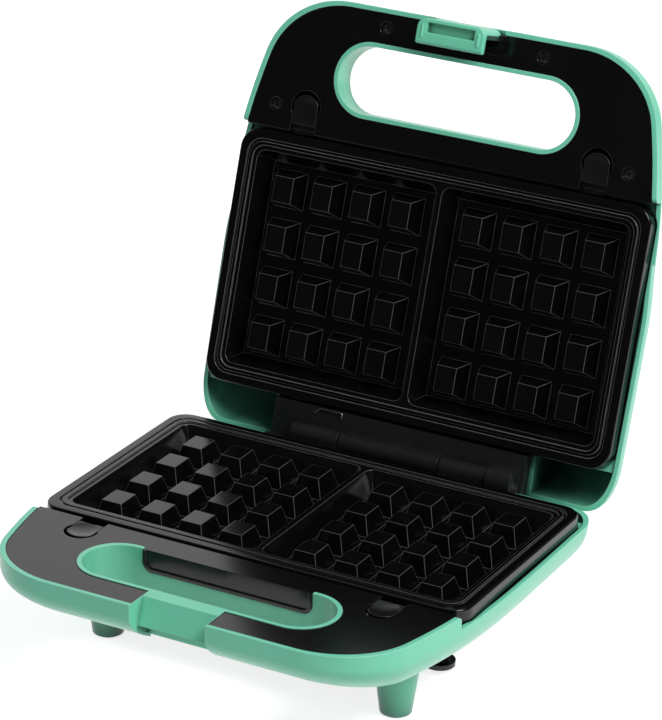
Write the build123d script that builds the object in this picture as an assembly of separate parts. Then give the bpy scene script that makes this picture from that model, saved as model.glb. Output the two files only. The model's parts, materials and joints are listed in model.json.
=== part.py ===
from build123d import *
import os
from math import atan, cos, degrees, hypot, radians, sin

# Waffle maker with lift-out plates: a clamshell of two moulded halves on a rear hinge.
# Each half is drawn in a half frame: x right, y back from the step beside the plate,
# z = 0 on the parting plane and the body below it. The upper half is that same half
# mirrored in the parting plane, then swung open about the hinge.

# ---------- placing ----------
parting_height = 63.2        # table to parting plane
step_to_origin = 40.0        # the origin lies this far behind the rim step, on the table
open_angle = 107.0           # lid lean from closed to its back stop
half_gap = 0.35              # each half stops this far short of the parting plane

# ---------- clearances ----------
fit_gap = 0.2                # fixed pieces of one half
run_gap = 0.35               # pieces that move
pin_gap = 0.05               # pin in its bore, radial
far = 200.0                  # cutting blocks reach past every edge of the object

# ---------- plan outline ----------
front_reach = 69.0           # step to front edge
front_flat_half = 66.0       # half of the straight front edge
corner_side_x = 108.3        # where the front corner runs into the side
corner_side_y = -37.8
corner_lean = 14.0
side_half = 118.5            # widest half width
side_mid_y = 62.0
rear_side_x = 117.6
rear_side_y = 129.0
rear_flat_half = 103.0
rear_wall_to_axis = 2.8      # lower rear wall in front of the hinge axis
lid_overhang = 6.7           # the lid's rear wall lies this far behind the axis
lid_rear_side_y = 134.0
corner_fullness = 0.37       # curve handle as a share of a corner's span

# ---------- shells ----------
wall = 2.3
ledge_in = 4.2               # rim ledge under the plate, inward of the plate edge
ledge_thick = 2.2
ledge_drop = 1.2             # ledge below the side rims, so the plate nests between them
step_corner = 2.5            # rounded end of the handle rims
band_depth = 7.0             # upright rim band before the wall rolls under
step_drop = 7.0              # side rim lies this far below the handle rim
lower_depth = 46.0
upper_depth = 43.0
side_roll = 52.0
side_power = 2.5
lower_front_roll = 85.0
lower_front_power = 1.85
rear_roll = 24.0
rear_power = 2.2
grip_depth = 21.0            # thickness of the lid's handle half
grip_band = 5.0
grip_front_roll = 16.0
grip_side_roll = 24.0
grip_power = 2.8
grip_tail_y = 30.0
belly_front_y = -13.0        # the deep part of the lid starts here
belly_flat_half = 66.0
belly_side_x = 116.4
belly_side_y = 30.0
belly_lean = 4.0
belly_front_roll = 30.0
belly_front_power = 2.2

# ---------- handle opening ----------
hole_half_length = 65.9
hole_half_width = 17.2
hole_centre_y = -31.8
tube_wall = 2.2
mouth_flare = 24.0           # degrees, where the opening meets the outside
mouth_depth = 7.0
opening_reach = 80.0         # the opening is cut this deep, past both faces

# ---------- handle panel ----------
panel_thick = 2.4
panel_sink = 0.4
panel_rear_y = 0.6
insert_half = 45.5           # dark wall piece at the rear of the lower opening
insert_depth = 11.5
insert_thick = 1.8
insert_proud = 0.5           # its frame stands into the opening
insert_frame = 1.7
insert_field_sink = 0.5
insert_corner = 5.0

# ---------- latch and its notch ----------
notch_half = 20.0
notch_shelf_y = -50.5        # rear edge of the flat shelf
notch_face_top_y = -57.0
notch_face_low_y = -62.0
notch_lip_depth = 13.5       # shelf to the edge that the hook grips
notch_block_half = 24.0
notch_block_y = -46.0
notch_wall_depth = 18.9      # the opening's wall ends this far down behind the hook
latch_half = 18.6
latch_ear_half = 21.0
latch_pivot_y = -62.0
latch_pivot_depth = 8.0
latch_skin = 3.0
latch_reach = 17.4           # hook tip below the parting plane
hook_tip_y = -51.6
hook_thick = 3.4
latch_corner = 5.5
latch_window_front = 1.7     # skin left in front of the window
latch_window_long = 5.8
latch_pin_r = 1.5
latch_window_half = 12.6
latch_barrel_r = 3.5
latch_front_gap = 0.2
latch_plan = 40.0            # plan rectangle behind the rounded front corners
latch_spring_long = 9.0
latch_spring_pitch = 1.3
latch_wire_r = 0.4
latch_bay_rear = 5.4         # pivot to the rear wall of the latch bay
latch_bay_deep = 6.8

# ---------- plates ----------
plate_half_width = 114.6
plate_front_y = 2.6
plate_rear_y = 134.2
plate_corner = 10.5
plate_seat_gap = 0.25        # skirt foot above the ledge
plate_skirt_flare = 0.5
rim_groove_in = 4.6
rim_groove_wide = 1.5
rim_groove_deep = 1.1
rim_step_in = 7.9
rim_step_deep = 0.8
pocket_in = 10.2             # plate edge to the pocket's top edge
divider_half = 1.5
pocket_depth = 10.6
pocket_slope = 5.2           # how far each pocket wall leans in
pocket_corner = 6.0
plate_thick = 2.4
stud_count = 4
stud_pitch_x = 22.39
stud_pitch_y = 25.45
stud_top_x = 10.78
stud_top_y = 13.29
stud_flank = 3.1             # each stud side spreads this much to its foot
stud_first_x = 14.6          # centre line to the first stud's top edge
stud_first_y = 24.5
stud_sink = 1.3              # stud tops below the rim
nose_half = 5.2              # nose of each button, toward the plate
nose_thick = 2.0
nose_depth = 4.8

# ---------- release buttons ----------
button_x = 81.2
button_half = 6.7
button_length = 18.6
button_depth = 7.5
button_travel = 2.6
button_dish_r = 26.0
button_dish_deep = 1.1
button_nose_gap = 0.35
button_tip_share = 0.62      # straight side ends this share of the half width behind the tip
button_tail = 3.4            # the top drops this far in front of the plate
button_tail_drop = 2.0
button_slot_end = 2.6        # the button's slot runs this far behind the step
finger_gap = 2.4             # gap in the panel round the button's tip
finger_side_gap = 1.6
spring_r = 2.4
spring_wire_r = 0.4
spring_pocket_deep = 4.0     # blind bore in the button's underside
seat_room = 5.2              # button's underside to the spring's seat
spring_pitch = 1.45
seat_half = 4.4
seat_reach = 13.0            # spring seat, forward of the step

# ---------- heating ----------
dish_half_width = 100.0
dish_front_y = 12.0
dish_rear_y = 124.0
dish_corner = 16.0
dish_wall = 0.8
dish_top_depth = 14.7
dish_floor_depth = 25.0
element_r = 3.2
element_half_x = 78.0
element_front_y = 30.0
element_rear_y = 102.0       # cross run at the back of the loop
element_inner_x = 34.0
element_bend = 7.6
thermostat_r = 8.0
fuse_r = 2.0
fuse_x = 26.0
fuse_length = 14.0
element_depth = 18.2
element_end_gap = 1.5        # tube ends to the hinge block
post_r = 3.6                 # posts that carry the reflector
post_x = 62.0
post_in = 24.0
post_length = 40.0

# ---------- hinge ----------
plate_to_axis = 15.6         # rear edge of the plate to the hinge axis
hinge_rise = -3.7            # axis below the parting plane
knuckle_r = 5.2
boss_r = 6.9                 # larger boss at the right end of the lid's part
boss_cup_r = 4.4             # recess in the boss's end
boss_cup_deep = 1.2
pin_end_gap = 0.6            # pin ends lie this far inside their bores
pin_r = 2.5
mid_knuckle_half = 27.8
side_knuckle_end = 55.5
boss_end = 69.0
knuckle_gap = 1.1
hinge_block_half = 71.0
hinge_block_front_gap = 0.8
bay_wall = 2.2               # green cheek on each side of the hinge bay
hinge_block_depth = 24.0
hinge_relief = 0.6
base_block_short = 1.0       # the base's block ends this far in front of the axis
lid_block_sink = 1.0         # the lid's block below the lid's rim
clip_x = 40.0                # small wire clip beside the barrel
clip_half = 7.5
clip_wide = 2.6
clip_wire_r = 0.55
clip_y = 3.6                 # behind the front of the hinge block

# ---------- underside ----------
foot_x = 79.0
front_foot_y = 8.5
foot_top_r = 12.1
foot_low_r = 7.7
foot_pad_r = 6.0
foot_pad_thick = 1.0
rear_foot_x = 56.0
rear_foot_y = 132.0
foot_root_depth = 30.0       # feet and posts start inside the shell
wrap_x = 76.8                # cord posts under the sides
wrap_y = 57.6
wrap_flange_r = 7.8
wrap_flange_thick = 2.6
wrap_flange_clear = 3.0      # flange above the table
wrap_neck_r = 4.6
gland_r = 7.0
gland_bore_r = 3.4
gland_x = -87.0
gland_depth = 26.0
gland_length = 8.0
terminal_x = -50.0           # terminal block under the reflector
terminal_y = 100.0
terminal_half_x = 7.0
terminal_half_y = 6.0
terminal_high = 9.0
terminal_bore_r = 1.6
lead_r = 1.2
lead_apart = 1.6             # each lead off the common middle line
lead_bend = 5.0
lead_fall = 3.5              # leads run this far under the reflector

# ---------- lenses ----------
lens_half_x = 4.2
lens_half_y = 4.2
lens_spacing = 16.0
lens_y = -2.0
lens_thick = 4.0

# ---------- screw recesses in the upper panel ----------
screw_outer_x = 98.4
screw_outer_y = -11.5
screw_inner_x = 43.6
screw_inner_y = -59.2
screw_recess_r = 3.4
screw_recess_deep = 1.5

face_z = -half_gap
lid_block_top = face_z - lid_block_sink
under_panel = face_z - panel_sink - panel_thick - fit_gap
ledge_top = -step_drop - ledge_drop
plate_skirt_depth = -ledge_top - half_gap - plate_seat_gap
hinge_y = plate_rear_y + plate_to_axis
hinge_block_front_y = plate_rear_y + plate_skirt_flare + hinge_block_front_gap
rear_reach = hinge_y - rear_wall_to_axis
lid_rear_reach = hinge_y + lid_overhang
rear_y = hole_centre_y + hole_half_width
front_y = hole_centre_y - hole_half_width
button_top = face_z - panel_sink
spring_y = -button_length / 2
spring_seat_z = button_top - button_depth - seat_room
spring_length = seat_room + spring_pocket_deep - button_travel - fit_gap


# ---------- plan and shell forms ----------
def plan_wire(z, side_in, front_in, rear_in, front=-front_reach, flat_half=front_flat_half,
              corner=(corner_side_x, corner_side_y), lean=corner_lean, rear=rear_reach, rear_side=rear_side_y):
    # closed outline of the half at one depth; each side moves in by its own amount
    p0 = (flat_half - 0.55 * side_in, front + front_in)
    p1 = (corner[0] - side_in, corner[1] + 0.6 * front_in)
    p2 = (side_half - side_in, max(side_mid_y, p1[1] + 12))
    p3 = (rear_side_x - side_in, rear_side - 0.7 * rear_in)
    p4 = (rear_flat_half - 0.8 * side_in, rear - rear_in)
    h = corner_fullness * hypot(p1[0] - p0[0], p1[1] - p0[1])
    s = corner_fullness * hypot(p2[0] - p1[0], p2[1] - p1[1])
    r = corner_fullness * hypot(p4[0] - p3[0], p4[1] - p3[1])
    lx, ly = sin(radians(lean)), cos(radians(lean))
    right = [
        [p0, (p0[0] + h, p0[1]), (p1[0] - h * lx, p1[1] - h * ly), p1],
        [p1, (p1[0] + s * lx, p1[1] + s * ly), (p2[0], p2[1] - s), p2],
        [p2, (p2[0], p2[1] + s * 0.5), (p3[0] + r * 0.03, p3[1] - s * 0.5), p3],
        [p3, (p3[0] - r * 0.03, p3[1] + r), (p4[0] + r, p4[1]), p4],
    ]
    edges = [Line((-p0[0], p0[1], z), (p0[0], p0[1], z))]
    for run in right:
        edges.append(Bezier(*[(x, y, z) for x, y in run]))
    edges.append(Line((p4[0], p4[1], z), (-p4[0], p4[1], z)))
    for run in reversed(right):
        edges.append(Bezier(*[(-x, y, z) for x, y in reversed(run)]))
    return Wire(edges)


def rolled_body(depth, band, rolls, inset=0.0, top=0.0, **plan):
    # upright band, then the wall rolls under; rolls = (side, power), (front, power), (rear, power)
    (side, ps), (front, pf), (rear, pr) = rolls
    top_wire = plan_wire(top, inset, inset, inset, **plan)
    body = extrude(make_face(top_wire.edges()), amount=band + top, dir=(0, 0, -1))
    low = depth - inset
    wires = []
    steps = [0.0, 0.14, 0.3, 0.46, 0.62, 0.78, 0.9, 1.0]
    for u in steps:
        z = -band - (low - band) * u
        wires.append(plan_wire(z, inset + side * u ** ps, inset + front * u ** pf,
                               inset + rear * u ** pr, **plan))
    return body + Solid.make_loft(wires)


lower_rolls = ((side_roll, side_power), (lower_front_roll, lower_front_power), (rear_roll, rear_power))
belly_rolls = ((side_roll, side_power), (belly_front_roll, belly_front_power), (rear_roll, rear_power))
grip_rolls = ((grip_side_roll, grip_power), (grip_front_roll, grip_power), (0.0, 1.0))
belly_plan = dict(front=belly_front_y, flat_half=belly_flat_half, corner=(belly_side_x, belly_side_y),
                  lean=belly_lean, rear=lid_rear_reach, rear_side=lid_rear_side_y)


def block(x0, x1, y0, y1, z0, z1):
    return Pos((x0 + x1) / 2, (y0 + y1) / 2, (z0 + z1) / 2) * Box(x1 - x0, y1 - y0, z1 - z0)


def stadium(half_length, half_width, z, height, taper=0.0):
    sketch = Pos(0, hole_centre_y, z) * SlotOverall(2 * half_length, 2 * half_width)
    return extrude(sketch, amount=-height, taper=taper)


def rod_x(x0, x1, y, z, r):
    return Pos((x0 + x1) / 2, y, z) * Rot(0, 90, 0) * Cylinder(r, x1 - x0)


def rounded_prism(hx0, hx1, y0, y1, z_top, z_low, corner):
    sketch = Pos((hx0 + hx1) / 2, (y0 + y1) / 2, z_top) * RectangleRounded(hx1 - hx0, y1 - y0, corner)
    return extrude(sketch, amount=z_low - z_top)


def lower_outer(inset=0.0, top=0.0):
    return rolled_body(lower_depth, band_depth, lower_rolls, inset, top)


def upper_outer(inset=0.0, top=0.0):
    grip = rolled_body(grip_depth, grip_band, grip_rolls, inset, top)
    grip = grip & block(-far, far, -far, grip_tail_y, -far, far)
    belly = rolled_body(upper_depth, band_depth, belly_rolls, inset, top, **belly_plan)
    return grip + belly


# ---------- housings ----------
def step_cut():
    # everything above the side rims and rear rim; the ends of the handle rims stay rounded
    profile = Plane.YZ * make_face([
        Line((0, -step_drop), (0, face_z - step_corner)),
        RadiusArc((0, face_z - step_corner), (-step_corner, face_z), -step_corner),
        Line((-step_corner, face_z), (-step_corner, far)),
        Line((-step_corner, far), (far, far)),
        Line((far, far), (far, -step_drop)),
        Line((far, -step_drop), (0, -step_drop))])
    return extrude(profile, amount=far, both=True)


def spring_seat(sx):
    # shelf under a release button, hung from the plate ledge
    x = sx * button_x
    under = spring_seat_z - ledge_thick
    shelf = block(x - seat_half, x + seat_half, -seat_reach, button_slot_end + wall, under, spring_seat_z)
    return shelf + block(x - seat_half, x + seat_half, button_slot_end, button_slot_end + wall, under, ledge_top)


def housing(outer, depth, mouth_z):
    outside = outer(0.0, 0.0)
    shell = outside - outer(wall, 1.0)
    # cheeks of the hinge bay and posts under the heat reflector
    for sx in (-1, 1):
        x = sx * (hinge_block_half + fit_gap + bay_wall / 2)
        cheek = block(x - bay_wall / 2, x + bay_wall / 2, hinge_block_front_y - 1, far, -far, far)
        shell += cheek & outside
        for y in (dish_front_y + post_in, dish_rear_y - post_in):
            post = Pos(sx * post_x, y, -dish_floor_depth - fit_gap - post_length / 2) * Cylinder(post_r, post_length)
            shell += post & outside
    # ledge that carries the plate, and the step wall in front of it
    ledge_end = plate_rear_y + plate_skirt_flare + fit_gap
    ledge = outside & block(-far, far, 0, ledge_end, ledge_top - ledge_thick, ledge_top)
    ledge -= rounded_prism(-plate_half_width + ledge_in, plate_half_width - ledge_in, plate_front_y + ledge_in,
                           plate_rear_y - ledge_in, 0, -far, plate_corner)
    step = outside & block(-far, far, -wall, 0, ledge_top - ledge_thick, under_panel)
    for sx in (-1, 1):
        step -= button_form(sx, run_gap)
        ledge -= button_form(sx, run_gap)
    shell += ledge + step
    for sx in (-1, 1):
        shell += spring_seat(sx)
    # nest for the foot of the plate's skirt
    shell -= inset_prism(-plate_skirt_flare - run_gap, ledge_top)
    shell -= step_cut()
    shell -= block(-far, far, -far, far, face_z, far)
    tube = stadium(hole_half_length + tube_wall, hole_half_width + tube_wall, face_z, depth)
    shell += tube & outside
    shell -= stadium(hole_half_length, hole_half_width, 5, opening_reach)
    flare_top = mouth_z + mouth_depth
    shell -= stadium(hole_half_length, hole_half_width, flare_top, depth, -mouth_flare)
    return shell


def hinge_bay():
    return block(-hinge_block_half - fit_gap, hinge_block_half + fit_gap,
                 hinge_block_front_y - fit_gap, far, -hinge_block_depth - fit_gap, far)


def make_lower_housing():
    shell = housing(lower_outer, 60, -30.0)
    # solid block behind the latch notch, then the notch itself
    outside = lower_outer(0.0, 0.0)
    core = block(-notch_block_half, notch_block_half, -far, notch_block_y, -notch_wall_depth, under_panel)
    core += block(-notch_half - fit_gap, notch_half + fit_gap, -far, notch_shelf_y - fit_gap, -notch_lip_depth, face_z)
    core = (core & outside) - stadium(hole_half_length, hole_half_width, 5, opening_reach)
    shell += core
    hook_room_y = front_y - tube_wall
    notch_side = [(-far, far), (notch_face_top_y, far), (notch_face_top_y, face_z),
                  (notch_face_low_y, -notch_lip_depth), (hook_room_y, -notch_lip_depth),
                  (hook_room_y, -notch_wall_depth), (front_y + 1, -notch_wall_depth),
                  (front_y + 1, -far), (-far, -far)]
    notch = extrude(Plane.YZ * make_face(Polyline(*notch_side, close=True)), amount=notch_half, both=True)
    shell -= notch
    # the dark wall piece sits in a cut at the back of the opening
    cut = block(-insert_half - fit_gap, insert_half + fit_gap, rear_y - tube_wall,
                rear_y + tube_wall + 0.5, -insert_depth - fit_gap, 5)
    shell -= fillet(cut.edges().filter_by(Axis.Y).group_by(Axis.Z)[0], insert_corner)
    shell -= hinge_bay()
    # cord inlet bore
    shell -= Pos(gland_x, rear_reach, -gland_depth) * Rot(90, 0, 0) * Cylinder(gland_r + fit_gap, 20)
    return shell


def make_upper_housing():
    shell = housing(upper_outer, 60, -grip_depth)
    core = block(-notch_block_half, notch_block_half, -far, notch_block_y - 5, -17, under_panel)
    core = core & upper_outer(0.0, 0.0)
    shell += core
    # latch bay, open to the front and to the parting plane
    bay_x = latch_ear_half + run_gap
    shell -= block(-bay_x, bay_x, -far, latch_pivot_y + latch_bay_rear, -latch_pivot_depth - latch_bay_deep, 5)
    shell -= rod_x(-notch_block_half - 5, notch_block_half + 5, latch_pivot_y,
                   -latch_pivot_depth, latch_pin_r + pin_gap)
    shell -= hinge_bay()
    for sx in (-1, 1):
        shell -= Pos(sx * lens_spacing / 2, 40 + lens_y, -upper_depth) * Box(
            2 * lens_half_x + 2 * fit_gap, 2 * lens_half_y + 2 * fit_gap, 12)
    return shell


# ---------- handle panels ----------
def panel_blank(outer):
    blank = outer(wall + fit_gap, 0.0) & block(-far, far, -far, panel_rear_y,
                                               face_z - panel_sink - panel_thick, face_z - panel_sink)
    blank -= stadium(hole_half_length + tube_wall + fit_gap, hole_half_width + tube_wall + fit_gap, 5, opening_reach)
    finger_r = button_half + finger_side_gap
    for sx in (-1, 1):
        blank -= button_form(sx, run_gap)
        blank -= Pos(sx * button_x, finger_r - button_length - finger_gap, 0) * Cylinder(finger_r, far)
    return blank


def button_form(sx, grow):
    # straight sides, round front end
    half = button_half + grow
    tip = -button_length - grow
    side_end = tip + half * button_tip_share
    root = button_slot_end
    sketch = Pos(sx * button_x, 0, 5) * make_face([
        Line((-half, root), (-half, side_end)),
        ThreePointArc((-half, side_end), (0, tip), (half, side_end)),
        Line((half, side_end), (half, root)),
        Line((half, root), (-half, root))])
    return extrude(sketch, amount=-far)


def make_lower_panel():
    panel = panel_blank(lower_outer)
    panel -= block(-notch_half - 2 * fit_gap, notch_half + 2 * fit_gap, -far, notch_shelf_y, -far, far)
    # framed wall piece that closes the rear of the opening
    insert = block(-insert_half, insert_half, rear_y - insert_proud, rear_y + insert_thick,
                   -insert_depth, button_top)
    insert = fillet(insert.edges().filter_by(Axis.Y).group_by(Axis.Z)[0], insert_corner)
    inner = insert_half - insert_frame
    field = block(-inner, inner, rear_y - insert_thick, rear_y + insert_field_sink,
                  -insert_depth + insert_frame, far)
    insert -= fillet(field.edges().filter_by(Axis.Y).group_by(Axis.Z)[0], insert_corner - insert_frame)
    bridge = block(-insert_half, insert_half, rear_y + insert_field_sink, rear_y + tube_wall + 2,
                   button_top - panel_thick, button_top)
    return panel + insert + bridge


def screw_spots():
    spots = []
    for sx in (-1, 1):
        spots.append((sx * screw_outer_x, screw_outer_y))
        spots.append((sx * screw_inner_x, screw_inner_y))
    return spots


def make_upper_panel():
    panel = panel_blank(upper_outer)
    bay_x = latch_ear_half + run_gap + 0.3
    panel -= block(-bay_x, bay_x, -far, latch_pivot_y + latch_bay_rear + fit_gap, -10, 5)
    for x, y in screw_spots():
        panel -= Pos(x, y, face_z - panel_sink) * Cylinder(screw_recess_r, 2 * screw_recess_deep)
    return panel


def make_button(sx):
    top = button_top
    body = button_form(sx, 0.0) & block(-far, far, -far, -run_gap, top - button_depth, top)
    # finger dish
    dish = Pos(sx * button_x, -button_length * 0.55, top + button_dish_r - button_dish_deep) * Sphere(button_dish_r)
    body -= dish
    body -= block(-far, far, -button_tail, far, top - button_tail_drop, far)
    pocket_r = spring_r + spring_wire_r + run_gap
    pocket_mid = top - button_depth - 1 + (spring_pocket_deep + 1) / 2
    body -= Pos(sx * button_x, spring_y, pocket_mid) * Cylinder(pocket_r, spring_pocket_deep + 1)
    nose_y = plate_front_y - plate_skirt_flare - button_nose_gap
    nose = block(sx * button_x - nose_half, sx * button_x + nose_half, -button_tail, nose_y,
                 top - nose_depth, top - nose_depth + nose_thick)
    return body + nose


def make_release_springs():
    springs = []
    for sx in (-1, 1):
        path = Helix(spring_pitch, spring_length - 2 * spring_wire_r, spring_r)
        section = Plane(origin=path @ 0, z_dir=path % 0) * Circle(spring_wire_r)
        coil = sweep(section, path=path, is_frenet=True)
        springs.append(Pos(sx * button_x, spring_y, spring_seat_z + spring_wire_r) * coil)
    return springs


# ---------- plates ----------
def pocket_form(x0, x1, y0, y1, top, depth, slope, corner):
    # tapered pocket: rounded outline at the top, leaning walls
    wide = Pos((x0 + x1) / 2, (y0 + y1) / 2, top) * RectangleRounded(x1 - x0, y1 - y0, corner)
    return extrude(wide, amount=-depth, taper=slope_angle(slope, depth))


def slope_angle(run, rise):
    return degrees(atan(run / rise))


def stud_form(x, y, floor_z, top_z):
    height = top_z - floor_z
    foot = Pos(x, y, floor_z) * Rectangle(stud_top_x + 2 * stud_flank, stud_top_y + 2 * stud_flank)
    return extrude(foot, amount=height, taper=slope_angle(stud_flank, height))


def inset_prism(inset, z_low):
    # rounded rectangle that far inside the plate's edge, open upward
    return rounded_prism(-plate_half_width + inset, plate_half_width - inset, plate_front_y + inset,
                         plate_rear_y - inset, 1.0, z_low, plate_corner - inset / 2)


def make_plate():
    top = face_z
    w, y0, y1 = plate_half_width, plate_front_y, plate_rear_y
    # flared skirt round a flat rim
    cy = (y0 + y1) / 2
    rim = Pos(0, cy, top) * RectangleRounded(2 * w, y1 - y0, plate_corner)
    body = extrude(rim, amount=-plate_skirt_depth, taper=-slope_angle(plate_skirt_flare, plate_skirt_depth))
    rim_edges = body.faces().sort_by(Axis.Z)[-1].edges()
    body = fillet(rim_edges, 1.0)
    inner = rounded_prism(-w + plate_thick, w - plate_thick, y0 + plate_thick, y1 - plate_thick,
                          top - plate_thick, top - plate_skirt_depth - 2, plate_corner - plate_thick)
    body -= inner
    # rim groove and inner rim step
    groove = inset_prism(rim_groove_in, top - rim_groove_deep)
    body -= groove - inset_prism(rim_groove_in + rim_groove_wide, top - rim_groove_deep)
    body -= inset_prism(rim_step_in, top - rim_step_deep)
    pockets = []
    for sx in (-1, 1):
        xa, xb = sx * divider_half, sx * (w - pocket_in)
        x0, x1 = min(xa, xb), max(xa, xb)
        pockets.append((x0, x1, y0 + pocket_in, y1 - pocket_in))
    pocket_top = top - rim_step_deep
    for x0, x1, a, b in pockets:
        t = plate_thick
        bowl = pocket_form(x0 - t * 0.6, x1 + t * 0.6, a - t * 0.6, b + t * 0.6, pocket_top,
                           pocket_depth + t, pocket_slope, pocket_corner)
        body += bowl
    for x0, x1, a, b in pockets:
        body -= pocket_form(x0, x1, a, b, pocket_top + 0.01, pocket_depth, pocket_slope, pocket_corner - 1)
    floor_z = pocket_top - pocket_depth
    top_z = top - stud_sink
    studs = []
    for sx in (-1, 1):
        for i in range(stud_count):
            for j in range(stud_count):
                x = sx * (stud_first_x + stud_top_x / 2 + i * stud_pitch_x)
                y = stud_first_y + stud_top_y / 2 + j * stud_pitch_y
                studs.append(stud_form(x, y, floor_z - 0.5, top_z))
    return body + studs


# ---------- heating parts ----------
def make_dish():
    outer = rounded_prism(-dish_half_width, dish_half_width, dish_front_y, dish_rear_y,
                          -dish_top_depth, -dish_floor_depth, dish_corner)
    inner = rounded_prism(-dish_half_width + dish_wall, dish_half_width - dish_wall,
                          dish_front_y + dish_wall, dish_rear_y - dish_wall,
                          -dish_top_depth + 1, -dish_floor_depth + dish_wall, dish_corner - dish_wall)
    dish = outer - inner
    for sx in (-1, 1):
        dish -= Pos(sx * element_inner_x, dish_rear_y, -element_depth) * Rot(90, 0, 0) * Cylinder(element_r + fit_gap, 20)
    return dish


def make_element():
    z = -element_depth
    back = element_rear_y
    end = hinge_block_front_y - element_end_gap
    pts = [(-element_inner_x, end, z), (-element_inner_x, back, z),
           (-element_half_x, back, z), (-element_half_x, element_front_y, z), (element_half_x, element_front_y, z),
           (element_half_x, back, z), (element_inner_x, back, z), (element_inner_x, end, z)]
    path = FilletPolyline(*pts, radius=element_bend)
    section = Plane(origin=path @ 0, z_dir=path % 0) * Circle(element_r)
    return sweep(section, path=path)


def make_element_clips():
    # saddles that hold the tube to the reflector floor
    floor = -dish_floor_depth + dish_wall
    clips = []
    for sx in (-1, 1):
        for y in (element_front_y + 22, element_rear_y - 22):
            x = sx * element_half_x
            saddle = block(x - element_r - 2, x + element_r + 2, y - 3, y + 3, floor, -element_depth + 1.2)
            saddle -= Pos(x, y, -element_depth) * Rot(90, 0, 0) * Cylinder(element_r + pin_gap, 20)
            clips.append(saddle)
    return clips


def make_thermostat():
    floor = -dish_floor_depth + dish_wall
    top = face_z - rim_step_deep - pocket_depth - plate_thick - run_gap
    y = (dish_front_y + dish_rear_y) / 2
    body = Pos(0, y, (floor + top) / 2) * Cylinder(thermostat_r, top - floor)
    lugs = Pos(0, y, floor + 1) * Box(2 * thermostat_r + 12, 7, 2)
    return body + lugs


def make_fuse():
    floor = -dish_floor_depth + dish_wall
    y = (dish_front_y + dish_rear_y) / 2
    tube = Pos(fuse_x, y, floor + fuse_r) * Rot(90, 0, 0) * Cylinder(fuse_r, fuse_length)
    return tube


# ---------- hinge ----------
lid_knuckles = [(-mid_knuckle_half, mid_knuckle_half, knuckle_r), (side_knuckle_end, boss_end, boss_r)]
base_knuckles = [(-side_knuckle_end, -mid_knuckle_half - knuckle_gap),
                 (mid_knuckle_half + knuckle_gap, side_knuckle_end - knuckle_gap)]


def make_lower_hinge():
    body = block(-hinge_block_half, hinge_block_half, hinge_block_front_y, hinge_y - base_block_short,
                 -hinge_block_depth, -step_drop)
    for x0, x1, r in lid_knuckles:
        body -= rod_x(x0 - knuckle_gap, x1 + knuckle_gap, hinge_y, hinge_rise, r + hinge_relief)
    for x0, x1 in base_knuckles:
        body += rod_x(x0, x1, hinge_y, hinge_rise, knuckle_r)
        body += block(x0, x1, hinge_y - knuckle_r, hinge_y, -hinge_block_depth, hinge_rise)
    return body - rod_x(-far, far, hinge_y, hinge_rise, pin_r + pin_gap)


def make_upper_hinge():
    # drawn in the half frame of the lid, where the axis lies above the parting plane;
    # the block closes the lid's rear wall between the cheeks
    z = -hinge_rise
    body = block(-hinge_block_half, hinge_block_half, hinge_block_front_y, far, -hinge_block_depth, lid_block_top)
    body = body & upper_outer(fit_gap, 0.0)
    for x0, x1 in base_knuckles:
        body -= rod_x(x0 - knuckle_gap, x1 + knuckle_gap, hinge_y, z, knuckle_r + hinge_relief)
    for x0, x1, r in lid_knuckles:
        body += rod_x(x0, x1, hinge_y, z, r) + block(x0, x1, hinge_y - r, hinge_y, lid_block_top - r, z)
    body -= rod_x(boss_end - boss_cup_deep, boss_end + 1, hinge_y, z, boss_cup_r)
    return body - rod_x(-far, boss_end, hinge_y, z, pin_r + pin_gap)


def make_hinge_pin():
    return rod_x(-side_knuckle_end + pin_end_gap, boss_end - boss_cup_deep - pin_end_gap, hinge_y, hinge_rise, pin_r)


def make_wire_clip():
    # bent wire lying on the lid's hinge block
    y = hinge_block_front_y + clip_y
    z = lid_block_top + clip_wire_r
    pts = [(-clip_x - clip_half, y, z), (-clip_x - clip_half + clip_wide, y - clip_wide, z),
           (-clip_x + clip_half, y - clip_wide, z), (-clip_x + clip_half, y, z)]
    path = FilletPolyline(*pts, radius=2 * clip_wire_r)
    return sweep(Plane(origin=path @ 0, z_dir=path % 0) * Circle(clip_wire_r), path=path)


# ---------- latch ----------
def make_latch():
    # side profile in the lid's half frame: body below zero, hook above it
    front = latch_front_gap - front_reach
    root_z = -latch_pivot_depth - latch_barrel_r
    neck_y = front + latch_skin
    hook_top = latch_reach - hook_thick
    outline = [(front, root_z), (latch_pivot_y + latch_barrel_r, root_z),
               (latch_pivot_y + latch_barrel_r, root_z + 2 * latch_barrel_r), (neck_y, 0.5 * hook_top),
               (neck_y, hook_top), (hook_tip_y, hook_top), (hook_tip_y, latch_reach),
               (front, latch_reach)]
    profile = make_face(Polyline(*outline, close=True))
    body = extrude(Plane.YZ * profile, amount=latch_half, both=True)
    plan = Pos(0, front + latch_plan / 2, -far / 2) * RectangleRounded(2 * latch_half, latch_plan, latch_corner)
    body = body & extrude(plan, amount=far)
    ear = latch_barrel_r - run_gap / 2
    body += rod_x(-latch_ear_half, latch_ear_half, latch_pivot_y, -latch_pivot_depth, ear)
    # window between the skin and the hook, and the slot for the spring
    window_y = front + latch_window_front
    body -= block(-latch_window_half, latch_window_half, window_y, window_y + latch_window_long,
                  hook_top - hook_thick, far)
    slot = latch_spring_long / 2 + run_gap
    body -= block(-slot, slot, -far, far, root_z - 1, -latch_pivot_depth + latch_barrel_r + run_gap)
    return body - rod_x(-far, far, latch_pivot_y, -latch_pivot_depth, latch_pin_r + pin_gap)


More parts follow.
